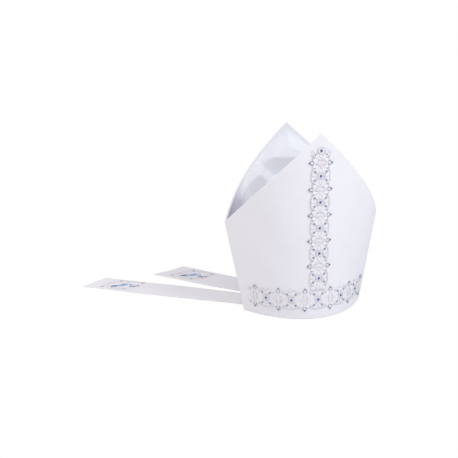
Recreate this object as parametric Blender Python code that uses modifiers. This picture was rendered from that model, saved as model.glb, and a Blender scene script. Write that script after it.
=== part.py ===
"""Bishop mitre with two stiff cloth horns, a satin gusset between them, a T of jewelled
embroidery on the front and two lappets that lie spread on the surface behind it.

Metres, +Z up. The front faces -Y. The origin is the middle of the head opening, on the
plane of the hem that the mitre stands on.
"""
import math

import bmesh
import bpy
import numpy as np
from mathutils import Matrix, Vector

# Cloth, thread and clearances
PANEL_WALL = 0.003
GUSSET_THICKNESS = 0.001
LAPPET_THICKNESS = 0.002
EMBROIDERY_THICKNESS = 0.0006
CLEARANCE = 0.0003

# Body: half width at the side seams, and depth from the seams' plane to the middle of a panel
HEM_HALF_WIDTH = 0.1088
HEM_DEPTH = 0.0813
SHOULDER_HEIGHT = 0.1617
SHOULDER_HALF_WIDTH = 0.1402
SHOULDER_DEPTH = 0.0893
PEAK_HEIGHT = 0.3177
SEAM_ANGLE = math.radians(46.2)
EDGE_HOLLOW = 0.11
HEM_TRIM = 0.002
PANEL_COLUMNS = 40
PANEL_ROWS = 3
CURVE_SAMPLES = 200
CURVE_OVERRUN = 1.2
SHARP_EDGE = math.radians(35.0)

# Gusset: the satin between the horns, sewn in below their edges and hanging in a valley
GUSSET_SEAM_DROP = 0.004
GUSSET_VALLEY_HEIGHT = 0.182
GUSSET_VALLEY_END_DROP = 0.014
GUSSET_VALLEY_ROUNDING = 1.5
GUSSET_HANG = 8.0
GUSSET_ROW_SPREAD = 2.2
GUSSET_END_GAP = 0.0028
GUSSET_COLUMNS = 32
GUSSET_ROWS = 20
PLEAT_END_TAPER = 0.5
PLEAT_SEAM_SHARE = 0.12
PLEATS = [
    # side of the valley, ends of the pleat's lip as turns across the panel and as shares of the climb
    # from shoulder to peak, its run-up and drop as shares of that climb, its lip as a share of the depth
    {"side": 1, "turn": -0.40, "climb": 0.585, "to_turn": 0.40, "to_climb": 0.585,
     "run": 0.40, "drop": 0.130, "lip": 0.15},
    {"side": 1, "turn": -0.44, "climb": 0.500, "to_turn": -0.10, "to_climb": 0.250,
     "run": 0.12, "drop": 0.130, "lip": 0.12},
    {"side": 1, "turn": 0.42, "climb": 0.490, "to_turn": 0.12, "to_climb": 0.260,
     "run": 0.13, "drop": 0.110, "lip": 0.09},
    {"side": -1, "turn": 0.38, "climb": 0.560, "to_turn": -0.38, "to_climb": 0.560,
     "run": 0.38, "drop": 0.130, "lip": 0.13},
    {"side": -1, "turn": 0.45, "climb": 0.470, "to_turn": 0.14, "to_climb": 0.230,
     "run": 0.13, "drop": 0.110, "lip": 0.10},
    {"side": -1, "turn": -0.43, "climb": 0.480, "to_turn": -0.16, "to_climb": 0.240,
     "run": 0.13, "drop": 0.110, "lip": 0.09},
]

# Lappets: sewn up the back panel, folded down at the hem and laid out behind it
LAPPET_RUN = 0.3305
LAPPET_ROOT_SPAN = 0.054
LAPPET_END_WIDTH = 0.060
LAPPET_FIRST_MARGIN = 0.0248
LAPPET_SPACING = 0.0020
LAPPET_ROOT_RISE = 0.018
LAPPET_BEND_RADIUS = 0.004
LAPPET_BEND_STEPS = 4
LAPPET_SQUARING_RUN = 0.14
LAPPET_SPREAD_RUN = 0.06
LAPPET_COLUMNS = 10
LAPPET_STEP = 0.016
LAPPETS = [
    # from the seam at -X round the back: span sewn to the hem, run on the surface and end width as
    # shares of the sizes above, how far the end's near corner runs ahead of the far one as a share of
    # its width, headings from +X at the hem and at the end
    {"name": "right_lappet", "span": 1.00, "run": 1.00, "end_width": 1.00, "end_skew": 0.18,
     "heading": 144.0, "end_heading": 143.4},
    {"name": "left_lappet", "span": 1.12, "run": 0.772, "end_width": 1.12, "end_skew": 0.32,
     "heading": 131.8, "end_heading": 130.4},
]
MOTIF_LENGTH = 0.066
MOTIF_WIDTH = 0.060
MOTIF_END_MARGIN = 0.031
MOTIF_WAIST = 0.42
MOTIF_ARM_SHARPNESS = 1.5
MOTIF_SIDES = 72
MOTIF_PATH_STEPS = 20

# Embroidered bands: a row of medallions with pointed loops between them
VERTICAL_PITCH = 0.0437
HEM_PITCH = 0.0454
MEDALLION_HALF_WIDTH = 0.0164
NECK_HALF_WIDTH = 0.0130
SPIKE_REACH = 0.0208
SPIKE_HALF_BASE = 0.0045
SWELL_SHARPNESS = 0.7
HEM_BAND_HEIGHT = 0.0350
HEM_BAND_END_MARGIN = 0.0210
FIRST_MEDALLION_RISE = 0.0380
TOP_SQUARE_MARGIN = 0.0282
TOP_SQUARE_HALF = 0.0050
SAMPLES_PER_PITCH = 12
SAMPLE_MERGE = 0.02
VERTICAL_BAND_COLUMNS = 6
HEM_BAND_ROWS = 2

# Stones: eight crown facets and a table
CENTRE_STONE_RADIUS = 0.0022
CENTRE_STONE_HEIGHT = 0.0015
SMALL_STONE_RADIUS = 0.0013
SMALL_STONE_HEIGHT = 0.0009
SMALL_STONE_SINK = 0.0003
SPIKE_STONE_INSET = 0.0020
TABLE_SHARE = 0.55
STONE_FACETS = 8
CORNER_STONE_ACROSS = 0.0098
CORNER_STONE_ALONG = 0.0072

# Linear colours, roughness and metallic share
FINISHES = {
    "ivory_cloth": {"color": (0.80, 0.79, 0.78), "roughness": 0.85, "metallic": 0.0},
    "satin": {"color": (0.78, 0.79, 0.82), "roughness": 0.38, "metallic": 0.0},
    "embroidery": {"color": (0.66, 0.62, 0.64), "roughness": 0.55, "metallic": 0.0},
    "blue_embroidery": {"color": (0.16, 0.24, 0.42), "roughness": 0.55, "metallic": 0.0},
    "blue_stone": {"color": (0.03, 0.05, 0.16), "roughness": 0.08, "metallic": 0.0},
}


def clear_scene():
    for item in list(bpy.data.objects):
        bpy.data.objects.remove(item, do_unlink=True)


def new_collection(name):
    collection = bpy.data.collections.new(name)
    bpy.context.scene.collection.children.link(collection)
    return collection


def make_finishes():
    finishes = {}
    for name, values in FINISHES.items():
        material = bpy.data.materials.new(name)
        material.use_nodes = True
        shader = material.node_tree.nodes["Principled BSDF"]
        shader.inputs["Base Color"].default_value = (*values["color"], 1.0)
        shader.inputs["Roughness"].default_value = values["roughness"]
        shader.inputs["Metallic"].default_value = values["metallic"]
        finishes[name] = material
    return finishes


def section_axes(height):
    """Semi-axes of the ellipse that a panel follows at a height, and the seam's place on it."""
    share = height / SHOULDER_HEIGHT
    half_width = HEM_HALF_WIDTH + (SHOULDER_HALF_WIDTH - HEM_HALF_WIDTH) * share
    depth = HEM_DEPTH + (SHOULDER_DEPTH - HEM_DEPTH) * share
    across = half_width / math.sin(SEAM_ANGLE)
    deep = depth / (1.0 - math.cos(SEAM_ANGLE))
    return across, deep


def panel_surface(side, turn, height):
    """A panel's outer surface: side -1 is the front and +1 the back, turn is -1 to 1 across it."""
    across, deep = section_axes(height)
    angle = turn * SEAM_ANGLE
    return Vector((across * math.sin(angle), side * deep * (math.cos(angle) - math.cos(SEAM_ANGLE)), height))


def panel_axes(side, turn, height):
    """Unit vectors along the panel to +X, up it and out of it."""
    across, deep = section_axes(height)
    angle = turn * SEAM_ANGLE
    along = Vector((across * math.cos(angle), -side * deep * math.sin(angle), 0.0)).normalized()
    rise = panel_surface(side, turn, height + SHOULDER_HEIGHT) - panel_surface(side, turn, height)
    outward = along.cross(rise).normalized() * -side
    return along, outward.cross(along) * -side, outward


def panel_point(side, turn, height, inset):
    """The point that lies inset inside the panel's outer surface, or outside it below zero."""
    return panel_surface(side, turn, height) - panel_axes(side, turn, height)[2] * inset


def curve_lengths(height):
    """Angles across a panel from its centre line, and the lengths of its curve up to them."""
    across, deep = section_axes(height)
    angles = np.linspace(0.0, SEAM_ANGLE * CURVE_OVERRUN, CURVE_SAMPLES)
    steps = np.hypot(np.diff(across * np.sin(angles)), np.diff(deep * np.cos(angles)))
    return angles, np.concatenate([[0.0], np.cumsum(steps)])


def turn_at(distance, height):
    """The turn across a panel that lies a distance along its curve from its centre line."""
    angles, lengths = curve_lengths(height)
    return math.copysign(np.interp(abs(distance), lengths, angles) / SEAM_ANGLE, distance)


def seam_distance(height):
    """Length of a panel's curve from its centre line to its side seam."""
    angles, lengths = curve_lengths(height)
    return float(np.interp(SEAM_ANGLE, angles, lengths))


def top_height(turn):
    """Height of a panel's upper edge, from the shoulders to the peak in slightly hollow lines."""
    share = abs(turn)
    climb = 1.0 - share - EDGE_HOLLOW * share * (1.0 - share)
    return SHOULDER_HEIGHT + (PEAK_HEIGHT - SHOULDER_HEIGHT) * climb


def sheet_object(name, columns, rows, place, thickness, finish, collection, offset=0.0):
    """A grid whose points are placed by two shares from -1 to 1, given a thickness."""
    bm = bmesh.new()
    bmesh.ops.create_grid(bm, x_segments=columns, y_segments=rows, size=1.0)
    for vertex in bm.verts:
        vertex.co = place(vertex.co.x, vertex.co.y)
    mesh = bpy.data.meshes.new(name)
    bm.to_mesh(mesh)
    bm.free()
    mesh.shade_smooth()
    mesh.set_sharp_from_angle(angle=SHARP_EDGE)
    mesh.materials.append(finish)
    sheet = bpy.data.objects.new(name, mesh)
    collection.objects.link(sheet)
    solid = sheet.modifiers.new("thickness", "SOLIDIFY")
    solid.thickness = thickness
    solid.offset = offset
    solid.use_even_offset = True
    return sheet


def hide_cutter(cutter):
    cutter.hide_render = True
    cutter.display_type = "WIRE"


def add_boolean(target, cutter, operation):
    cut = target.modifiers.new(cutter.name, "BOOLEAN")
    cut.operation = operation
    cut.solver = "EXACT"
    cut.object = cutter


def make_cutter_box(name, direction, clearance, cutters):
    """A box larger than the hat that fills one side of a plane, a clearance away from the origin."""
    length = 2.0 * PEAK_HEIGHT + 2.0 * SHOULDER_HALF_WIDTH
    bm = bmesh.new()
    bmesh.ops.create_cube(bm, size=length)
    bmesh.ops.translate(bm, verts=bm.verts, vec=direction * (length / 2.0 + clearance))
    mesh = bpy.data.meshes.new(name)
    bm.to_mesh(mesh)
    bm.free()
    cutter = bpy.data.objects.new(name, mesh)
    cutters.objects.link(cutter)
    hide_cutter(cutter)
    return cutter


def make_panel(name, side, finish, collection, cutters):
    """A panel, made too long below and too wide, then cut flat at the hem and square at the seams."""
    def place(across, up):
        turn = -side * across
        return panel_surface(side, turn, (top_height(turn) + HEM_TRIM) * (up + 1.0) / 2.0 - HEM_TRIM)

    panel = sheet_object(name, PANEL_COLUMNS, PANEL_ROWS, place, PANEL_WALL, finish, collection, offset=-1.0)
    towards_other = Vector((0.0, -side, 0.0))
    seam_cutter = make_cutter_box(name + "_seam_cutter", towards_other, -CLEARANCE / 2.0, cutters)
    hem_cutter = make_cutter_box(name + "_hem_cutter", Vector((0.0, 0.0, -1.0)), 0.0, cutters)
    add_boolean(panel, seam_cutter, "DIFFERENCE")
    add_boolean(panel, hem_cutter, "DIFFERENCE")
    return panel


def gusset_edge(turn, height):
    """Middle of the gusset's cloth against the back panel's inner face."""
    inset = PANEL_WALL + CLEARANCE + GUSSET_THICKNESS / 2.0
    return panel_point(1, turn, height, inset)


def gusset_end_turn():
    """How far across the panels still stand apart enough for the gusset's two layers."""
    open_turns = [turn for turn in np.linspace(0.0, 1.0, 2 * CURVE_SAMPLES)
                  if gusset_edge(turn, top_height(turn) - GUSSET_SEAM_DROP).y > GUSSET_END_GAP / 2.0]
    return float(open_turns[-1])


def pleat_depth(side, turn, height):
    """How far the pleats stand out from one side of the valley, as a share of its depth."""
    climb_height = PEAK_HEIGHT - SHOULDER_HEIGHT
    here = Vector((turn * seam_distance(SHOULDER_HEIGHT), height - SHOULDER_HEIGHT))
    deepest = 0.0
    for pleat in PLEATS:
        if pleat["side"] != side:
            continue
        start = Vector((pleat["turn"] * seam_distance(SHOULDER_HEIGHT), pleat["climb"] * climb_height))
        end = Vector((pleat["to_turn"] * seam_distance(SHOULDER_HEIGHT), pleat["to_climb"] * climb_height))
        line = end - start
        share = (here - start).dot(line) / line.length_squared
        above = line.x * (here - start).y - line.y * (here - start).x
        above *= math.copysign(1.0, line.x) / line.length / climb_height
        slope = max(0.0, 1.0 - above / pleat["run"] if above > 0.0 else 1.0 + above / pleat["drop"])
        along = math.sin(math.pi * max(0.0, min(1.0, share))) ** PLEAT_END_TAPER
        deepest = max(deepest, pleat["lip"] * slope * slope * (3.0 - 2.0 * slope) * along)
    return deepest


def make_gusset(finish, collection):
    end = gusset_end_turn()
    valley_end = top_height(end) - GUSSET_VALLEY_END_DROP

    def place(across, deep):
        turn = across * end
        side = 1 if deep > 0.0 else -1
        edge = top_height(turn) - GUSSET_SEAM_DROP
        lift = abs(across) ** GUSSET_VALLEY_ROUNDING
        valley = GUSSET_VALLEY_HEIGHT + (valley_end - GUSSET_VALLEY_HEIGHT) * lift
        rise = abs(deep) ** GUSSET_ROW_SPREAD
        height = valley + (edge - valley) * rise
        depth = 1.0 - (1.0 - rise) ** GUSSET_HANG
        free = min(1.0, (1.0 - rise) / PLEAT_SEAM_SHARE) * min(1.0, rise / PLEAT_SEAM_SHARE)
        depth -= pleat_depth(side, turn, height) * free * depth
        wall = gusset_edge(turn, height)
        return Vector((wall.x, wall.y * depth * side, height))

    return sheet_object("gusset", GUSSET_COLUMNS, GUSSET_ROWS, place, GUSSET_THICKNESS, finish, collection)


def hem_frame(distance):
    """A point on the back panel's outer face at the hem, and the way out of it."""
    turn = turn_at(distance, 0.0)
    outward = panel_axes(1, turn, 0.0)[2]
    outward.z = 0.0
    return panel_surface(1, turn, 0.0), outward.normalized()


def heading_vector(degrees):
    return Vector((math.cos(math.radians(degrees)), math.sin(math.radians(degrees)), 0.0))


def lappet_root(row):
    """Middle of a lappet's root along the hem, each beside the one before it."""
    edge = LAPPET_FIRST_MARGIN - seam_distance(0.0)
    for other in LAPPETS:
        span = other["span"] * LAPPET_ROOT_SPAN
        if other is row:
            return edge + span / 2.0
        edge += span + LAPPET_SPACING


def lappet_centre_line(row, lengths):
    """Places and headings of a lappet's centre line at lengths along the surface from its fold."""
    foot, outward = hem_frame(lappet_root(row))
    place = foot + outward * (CLEARANCE + LAPPET_THICKNESS / 2.0 + LAPPET_BEND_RADIUS)
    run = row["run"] * LAPPET_RUN
    places = []
    headings = []
    last = 0.0
    for length in lengths:
        share = (length + last) / 2.0 / run
        ahead = heading_vector(row["heading"] + (row["end_heading"] - row["heading"]) * share)
        place = place + ahead * (length - last)
        places.append(place)
        headings.append(ahead)
        last = length
    return places, headings


def make_lappet(row, finish, collection):
    half = LAPPET_THICKNESS / 2.0
    root = lappet_root(row)
    span = row["span"] * LAPPET_ROOT_SPAN
    run = row["run"] * LAPPET_RUN
    end_width = row["end_width"] * LAPPET_END_WIDTH
    root_width = span * math.cos(hem_frame(root)[1].angle(heading_vector(row["heading"])))
    steps = round(run / LAPPET_STEP)
    lengths = [run * step / steps for step in range(1, steps + 1)]
    places, headings = lappet_centre_line(row, lengths)
    risers = [LAPPET_ROOT_RISE, (LAPPET_ROOT_RISE + LAPPET_BEND_RADIUS + half) / 2.0]
    swings = [math.pi / 2.0 * step / LAPPET_BEND_STEPS for step in range(LAPPET_BEND_STEPS + 1)]

    def standing(across, height, swing):
        """A point of the turned-up root, swung out from the panel round the fold."""
        distance = root - across * span / 2.0
        wall = panel_point(1, turn_at(distance, 0.0), height, -(CLEARANCE + half))
        return wall + hem_frame(distance)[1] * LAPPET_BEND_RADIUS * (1.0 - math.cos(swing))

    def lying(across, index):
        """A point on the surface: it starts along the hem's curve and squares up to the heading."""
        shift = places[index] - standing(0.0, half, swings[-1])
        follow = standing(across, half, swings[-1]) + shift
        sideways = headings[index].cross(Vector((0.0, 0.0, 1.0)))
        width = root_width + (end_width - root_width) * min(1.0, lengths[index] / LAPPET_SPREAD_RUN)
        square = places[index] - sideways * across * width / 2.0
        square += headings[index] * across * width / 2.0 * row["end_skew"] * lengths[index] / run
        share = min(1.0, lengths[index] / LAPPET_SQUARING_RUN)
        point = follow.lerp(square, share * share * (3.0 - 2.0 * share))
        point.z = half
        return point

    rows = len(risers) + len(swings) + len(lengths) - 1

    def place(across, along):
        index = round((along + 1.0) / 2.0 * rows)
        if index < len(risers):
            return standing(across, risers[index], 0.0)
        index -= len(risers)
        if index < len(swings):
            height = half + LAPPET_BEND_RADIUS * (1.0 - math.sin(swings[index]))
            return standing(across, height, swings[index])
        return lying(across, index - len(swings))

    return sheet_object(row["name"], LAPPET_COLUMNS, rows, place, LAPPET_THICKNESS, finish, collection)


def make_lappet_motif(row, finish, collection):
    """A cross-shaped patch of embroidery near the lappet's square end."""
    name = row["name"] + "_motif"
    run = row["run"] * LAPPET_RUN
    lengths = [run * (step + 1) / MOTIF_PATH_STEPS for step in range(MOTIF_PATH_STEPS)]
    places, headings = lappet_centre_line(row, lengths)
    ahead = headings[-1]
    middle = places[-1] - ahead * (MOTIF_END_MARGIN + MOTIF_LENGTH / 2.0)
    middle.z = LAPPET_THICKNESS + CLEARANCE + EMBROIDERY_THICKNESS / 2.0
    sideways = ahead.cross(Vector((0.0, 0.0, 1.0)))
    bm = bmesh.new()
    bmesh.ops.create_circle(bm, cap_ends=True, segments=MOTIF_SIDES, radius=1.0)
    for vertex in bm.verts:
        angle = math.atan2(vertex.co.y, vertex.co.x)
        reach = MOTIF_WAIST + (1.0 - MOTIF_WAIST) * abs(math.cos(2.0 * angle)) ** MOTIF_ARM_SHARPNESS
        along = math.cos(angle) * reach * MOTIF_LENGTH / 2.0
        across = math.sin(angle) * reach * MOTIF_WIDTH / 2.0
        vertex.co = middle + ahead * along + sideways * across
    mesh = bpy.data.meshes.new(name)
    bm.to_mesh(mesh)
    bm.free()
    mesh.materials.append(finish)
    patch = bpy.data.objects.new(name, mesh)
    collection.objects.link(patch)
    solid = patch.modifiers.new("thickness", "SOLIDIFY")
    solid.thickness = EMBROIDERY_THICKNESS
    solid.offset = 0.0
    return patch


def band_half_width(place, pitch, spikes_from, spikes_to):
    """Half width of a band at a place counted in pitches, with its medallions at whole numbers."""
    offset = abs(place - round(place))
    swell = (0.5 + 0.5 * math.cos(2.0 * math.pi * offset)) ** SWELL_SHARPNESS
    width = NECK_HALF_WIDTH + (MEDALLION_HALF_WIDTH - NECK_HALF_WIDTH) * swell
    if spikes_from < place < spikes_to:
        from_spike = (0.5 - offset) * pitch
        width = max(width, SPIKE_REACH - (SPIKE_REACH - NECK_HALF_WIDTH) * from_spike / SPIKE_HALF_BASE)
    return width


def band_stations(first, last):
    """Places along a band where its outline is set, counted in pitches."""
    steps = range(math.ceil(first * SAMPLES_PER_PITCH), math.floor(last * SAMPLES_PER_PITCH) + 1)
    inner = [step / SAMPLES_PER_PITCH for step in steps]
    inner = [place for place in inner if place - first > SAMPLE_MERGE and last - place > SAMPLE_MERGE]
    return [first] + inner + [last]


def front_matrix(distance, height, lift):
    """Where a stone sits on the front: a matrix with its own +Z pointing out of the cloth."""
    turn = turn_at(distance, height)
    along, up, outward = panel_axes(-1, turn, height)
    turned = Matrix((along, up, outward)).transposed().to_4x4()
    return Matrix.Translation(panel_point(-1, turn, height, -lift)) @ turned


def add_stone(bm, radius, height, matrix):
    """An eight-sided crown with a table, standing on its matrix's own plane."""
    lifted = matrix @ Matrix.Translation((0.0, 0.0, height / 2.0))
    bmesh.ops.create_cone(bm, cap_ends=True, segments=STONE_FACETS, radius1=radius,
                          radius2=radius * TABLE_SHARE, depth=height, matrix=lifted)


def make_small_stones(name, spots, cutters):
    """All the small stones of one band, to be joined to its cloth."""
    bm = bmesh.new()
    lift = CLEARANCE + EMBROIDERY_THICKNESS - SMALL_STONE_SINK
    for distance, height in spots:
        matrix = front_matrix(distance, height, lift)
        add_stone(bm, SMALL_STONE_RADIUS, SMALL_STONE_HEIGHT + SMALL_STONE_SINK, matrix)
    mesh = bpy.data.meshes.new(name)
    bm.to_mesh(mesh)
    bm.free()
    stones = bpy.data.objects.new(name, mesh)
    cutters.objects.link(stones)
    hide_cutter(stones)
    return stones


def make_centre_stone(number, distance, height, finish, collection):
    name = f"centre_stone_{number:02d}"
    bm = bmesh.new()
    lift = CLEARANCE + EMBROIDERY_THICKNESS + CLEARANCE
    add_stone(bm, CENTRE_STONE_RADIUS, CENTRE_STONE_HEIGHT, front_matrix(distance, height, lift))
    mesh = bpy.data.meshes.new(name)
    bm.to_mesh(mesh)
    bm.free()
    mesh.materials.append(finish)
    stone = bpy.data.objects.new(name, mesh)
    collection.objects.link(stone)
    return stone


def make_hem_orphrey(finish, collection, cutters):
    """The band round the front's hem. Its middle medallion is the crossing of the T."""
    reach = (seam_distance(HEM_BAND_HEIGHT) - HEM_BAND_END_MARGIN) / HEM_PITCH
    stations = band_stations(-reach, reach)
    lift = -(CLEARANCE + EMBROIDERY_THICKNESS / 2.0)

    def place(along, across):
        here = stations[round((along + 1.0) / 2.0 * (len(stations) - 1))]
        height = HEM_BAND_HEIGHT + across * band_half_width(here, HEM_PITCH, -reach, reach)
        return panel_point(-1, turn_at(here * HEM_PITCH, height), height, lift)

    band = sheet_object("hem_orphrey", len(stations) - 1, HEM_BAND_ROWS, place, EMBROIDERY_THICKNESS, finish,
                        collection)
    medallions = [number for number in range(-math.floor(reach), math.floor(reach) + 1)
                  if abs(number) + CORNER_STONE_ALONG / HEM_PITCH < reach]
    spikes = [number + 0.5 for number in range(-math.ceil(reach), math.ceil(reach))
              if abs(number + 0.5) + SPIKE_HALF_BASE / HEM_PITCH < reach]
    spots = []
    for number in medallions:
        for along in (-CORNER_STONE_ALONG, CORNER_STONE_ALONG):
            for across in (-CORNER_STONE_ACROSS, CORNER_STONE_ACROSS):
                spots.append((number * HEM_PITCH + along, HEM_BAND_HEIGHT + across))
    for number in spikes:
        for across in (SPIKE_STONE_INSET - SPIKE_REACH, SPIKE_REACH - SPIKE_STONE_INSET):
            spots.append((number * HEM_PITCH, HEM_BAND_HEIGHT + across))
    add_boolean(band, make_small_stones("hem_orphrey_stones", spots, cutters), "UNION")
    return [(number * HEM_PITCH, HEM_BAND_HEIGHT) for number in medallions]


def make_vertical_orphrey(finish, collection, cutters):
    """The band up the front's centre line, from the crossing to a small square under the peak."""
    first_height = HEM_BAND_HEIGHT + FIRST_MEDALLION_RISE
    square_height = PEAK_HEIGHT - TOP_SQUARE_MARGIN
    whole = round((square_height - first_height) / VERTICAL_PITCH)
    start = (HEM_BAND_HEIGHT + MEDALLION_HALF_WIDTH + CLEARANCE - first_height) / VERTICAL_PITCH
    square_start = (square_height - TOP_SQUARE_HALF - first_height) / VERTICAL_PITCH
    end = (square_height + TOP_SQUARE_HALF - first_height) / VERTICAL_PITCH
    stations = band_stations(start, end)
    lift = -(CLEARANCE + EMBROIDERY_THICKNESS / 2.0)

    def place(across, up):
        here = stations[round((up + 1.0) / 2.0 * (len(stations) - 1))]
        height = first_height + here * VERTICAL_PITCH
        half_width = TOP_SQUARE_HALF
        if here < square_start:
            half_width = band_half_width(here, VERTICAL_PITCH, 0.0, whole)
        distance = across * half_width
        return panel_point(-1, turn_at(distance, height), height, lift)

    band = sheet_object("vertical_orphrey", VERTICAL_BAND_COLUMNS, len(stations) - 1, place,
                        EMBROIDERY_THICKNESS, finish, collection)
    medallions = [first_height + number * VERTICAL_PITCH for number in range(whole)]
    spots = []
    for middle in medallions:
        for up in (-CORNER_STONE_ALONG, CORNER_STONE_ALONG):
            for across in (-CORNER_STONE_ACROSS, CORNER_STONE_ACROSS):
                spots.append((across, middle + up))
        for across in (SPIKE_STONE_INSET - SPIKE_REACH, SPIKE_REACH - SPIKE_STONE_INSET):
            spots.append((across, middle + VERTICAL_PITCH / 2.0))
    add_boolean(band, make_small_stones("vertical_orphrey_stones", spots, cutters), "UNION")
    return [(0.0, height) for height in medallions + [square_height]]


def main():
    clear_scene()
    finishes = make_finishes()
    mitre = new_collection("bishop_mitre")
    cutters = new_collection("cutters")
    make_panel("front_panel", -1, finishes["ivory_cloth"], mitre, cutters)
    make_panel("back_panel", 1, finishes["ivory_cloth"], mitre, cutters)
    make_gusset(finishes["satin"], mitre)
    for row in LAPPETS:
        make_lappet(row, finishes["ivory_cloth"], mitre)
        make_lappet_motif(row, finishes["blue_embroidery"], mitre)
    spots = make_hem_orphrey(finishes["embroidery"], mitre, cutters)
    spots += make_vertical_orphrey(finishes["embroidery"], mitre, cutters)
    for number, (distance, height) in enumerate(spots, 1):
        make_centre_stone(number, distance, height, finishes["blue_stone"], mitre)


main()
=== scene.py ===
"""Looks of the bishop mitre: its cloth walls, the satin between the horns, the lappets, and the
embroidery with its threads, padded stitches and cut stones.

Metres, +Z up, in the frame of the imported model. Shapes of the CAD that pieces follow are repeated here.
"""
import math

import bmesh
import bpy
import numpy as np
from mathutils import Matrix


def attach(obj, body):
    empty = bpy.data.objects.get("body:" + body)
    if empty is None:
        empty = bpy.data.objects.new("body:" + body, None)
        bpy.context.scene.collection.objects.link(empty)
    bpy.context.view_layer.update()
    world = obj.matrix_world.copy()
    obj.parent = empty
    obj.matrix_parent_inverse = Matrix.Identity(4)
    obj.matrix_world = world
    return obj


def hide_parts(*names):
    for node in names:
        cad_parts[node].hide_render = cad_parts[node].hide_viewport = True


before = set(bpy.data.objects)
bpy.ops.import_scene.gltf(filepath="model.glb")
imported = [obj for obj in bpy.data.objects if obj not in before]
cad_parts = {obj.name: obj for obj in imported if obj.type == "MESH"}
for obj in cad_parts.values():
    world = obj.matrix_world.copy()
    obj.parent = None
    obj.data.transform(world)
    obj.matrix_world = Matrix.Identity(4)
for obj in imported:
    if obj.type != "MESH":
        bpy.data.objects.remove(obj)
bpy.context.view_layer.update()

# Camera and stage
CAMERA_TURN = math.radians(-18.13983)
CAMERA_RISE = math.radians(12.8178)
CAMERA_DISTANCE = 1.34615
CAMERA_TARGET = (0.0, 0.0, 0.16)
CAMERA_LENS = 60.283
CAMERA_SHIFT = (-0.16101, -0.02664)
FLOOR_HALF = 4.0
LIGHTS = [
    # name, place, size, power, colour
    ("key", (0.747, -1.067, 1.253), 0.9, 11.4, (0.90, 0.96, 1.0)),
    ("left_side", (-1.448, 0.527, 0.878), 0.9, 7.0, (1.0, 0.93, 0.76)),
    ("front_left", (-0.445, -1.224, 1.253), 0.9, 4.8, (1.0, 0.94, 0.90)),
]
WORLD_LIGHT = 0.72
WORLD_COLOUR = (0.90, 0.91, 0.98)

# Body, as in the CAD
PANEL_WALL = 0.003
GUSSET_THICKNESS = 0.001
LAPPET_THICKNESS = 0.002
EMBROIDERY_THICKNESS = 0.0006
CLEARANCE = 0.0003
HEM_HALF_WIDTH = 0.1088
HEM_DEPTH = 0.0813
SHOULDER_HEIGHT = 0.1617
SHOULDER_HALF_WIDTH = 0.1402
SHOULDER_DEPTH = 0.0893
PEAK_HEIGHT = 0.3177
SEAM_ANGLE = math.radians(46.2)
EDGE_HOLLOW = 0.11
CURVE_SAMPLES = 200
CURVE_OVERRUN = 1.2

# Gusset, as in the CAD
GUSSET_SEAM_DROP = 0.0024
GUSSET_VALLEY_HEIGHT = 0.182
GUSSET_VALLEY_END_DROP = 0.036
GUSSET_VALLEY_ROUNDING = 1.5
GUSSET_HANG = 8.0
GUSSET_ROW_SPREAD = 2.2
GUSSET_END_GAP = 0.0028
PLEAT_END_TAPER = 0.5
PLEAT_SEAM_SHARE = 0.12
PLEATS = [
    # side of the valley, ends of the pleat's lip as turns across the panel and as shares of the climb
    # from shoulder to peak, its run-up and drop as shares of that climb, its lip as a share of the depth
    (1, -0.45, 0.600, 0.44, 0.590, 0.40, 0.200, 0.150),
    (1, -0.600, 0.710, -0.15, 0.180, 0.130, 0.360, 0.27),
    (1, -0.70, -0.060, -0.60, 0.640, 0.060, 0.300, 0.21),
    (1, 0.42, 0.490, 0.12, 0.260, 0.13, 0.110, 0.09),
    (-1, 0.38, 0.560, -0.38, 0.560, 0.38, 0.130, 0.13),
    (-1, 0.45, 0.470, 0.14, 0.230, 0.13, 0.110, 0.10),
    (-1, -0.43, 0.480, -0.16, 0.240, 0.13, 0.110, 0.09),
]

# Lappets, as in the CAD
LAPPET_RUN = 0.3305
LAPPET_ROOT_SPAN = 0.054
LAPPET_END_WIDTH = 0.060
LAPPET_FIRST_MARGIN = 0.0248
LAPPET_SPACING = 0.0020
LAPPET_ROOT_RISE = 0.018
LAPPET_BEND_RADIUS = 0.004
LAPPET_SQUARING_RUN = 0.14
LAPPET_SPREAD_RUN = 0.06
LAPPETS = [
    # name, span sewn to the hem, run and end width as shares, heading at the hem and at the end
    ("right_lappet", 1.00, 1.00, 1.00, 144.0, 143.4, 0.18),
    ("left_lappet", 1.12, 0.772, 1.12, 131.8, 130.4, 0.32),
]

# Embroidered bands, as in the CAD
VERTICAL_PITCH = 0.0437
HEM_PITCH = 0.0454
MEDALLION_HALF_WIDTH = 0.0164
NECK_HALF_WIDTH = 0.0130
SPIKE_REACH = 0.0208
SPIKE_HALF_BASE = 0.0045
SWELL_SHARPNESS = 0.7
HEM_BAND_HEIGHT = 0.0350
HEM_BAND_END_MARGIN = 0.0210
FIRST_MEDALLION_RISE = 0.0380
TOP_SQUARE_MARGIN = 0.0282
TOP_SQUARE_HALF = 0.0050
CENTRE_STONE_RADIUS = 0.0022
CENTRE_STONE_HEIGHT = 0.0015
SMALL_STONE_RADIUS = 0.0010
SMALL_STONE_HEIGHT = 0.0009

MM = 0.001


# Surfaces of the hat, for arrays of places

def section_axes(height):
    share = height / SHOULDER_HEIGHT
    half_width = HEM_HALF_WIDTH + (SHOULDER_HALF_WIDTH - HEM_HALF_WIDTH) * share
    depth = HEM_DEPTH + (SHOULDER_DEPTH - HEM_DEPTH) * share
    return half_width / math.sin(SEAM_ANGLE), depth / (1.0 - math.cos(SEAM_ANGLE))


def unit(vectors):
    return vectors / np.linalg.norm(vectors, axis=-1, keepdims=True)


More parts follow.
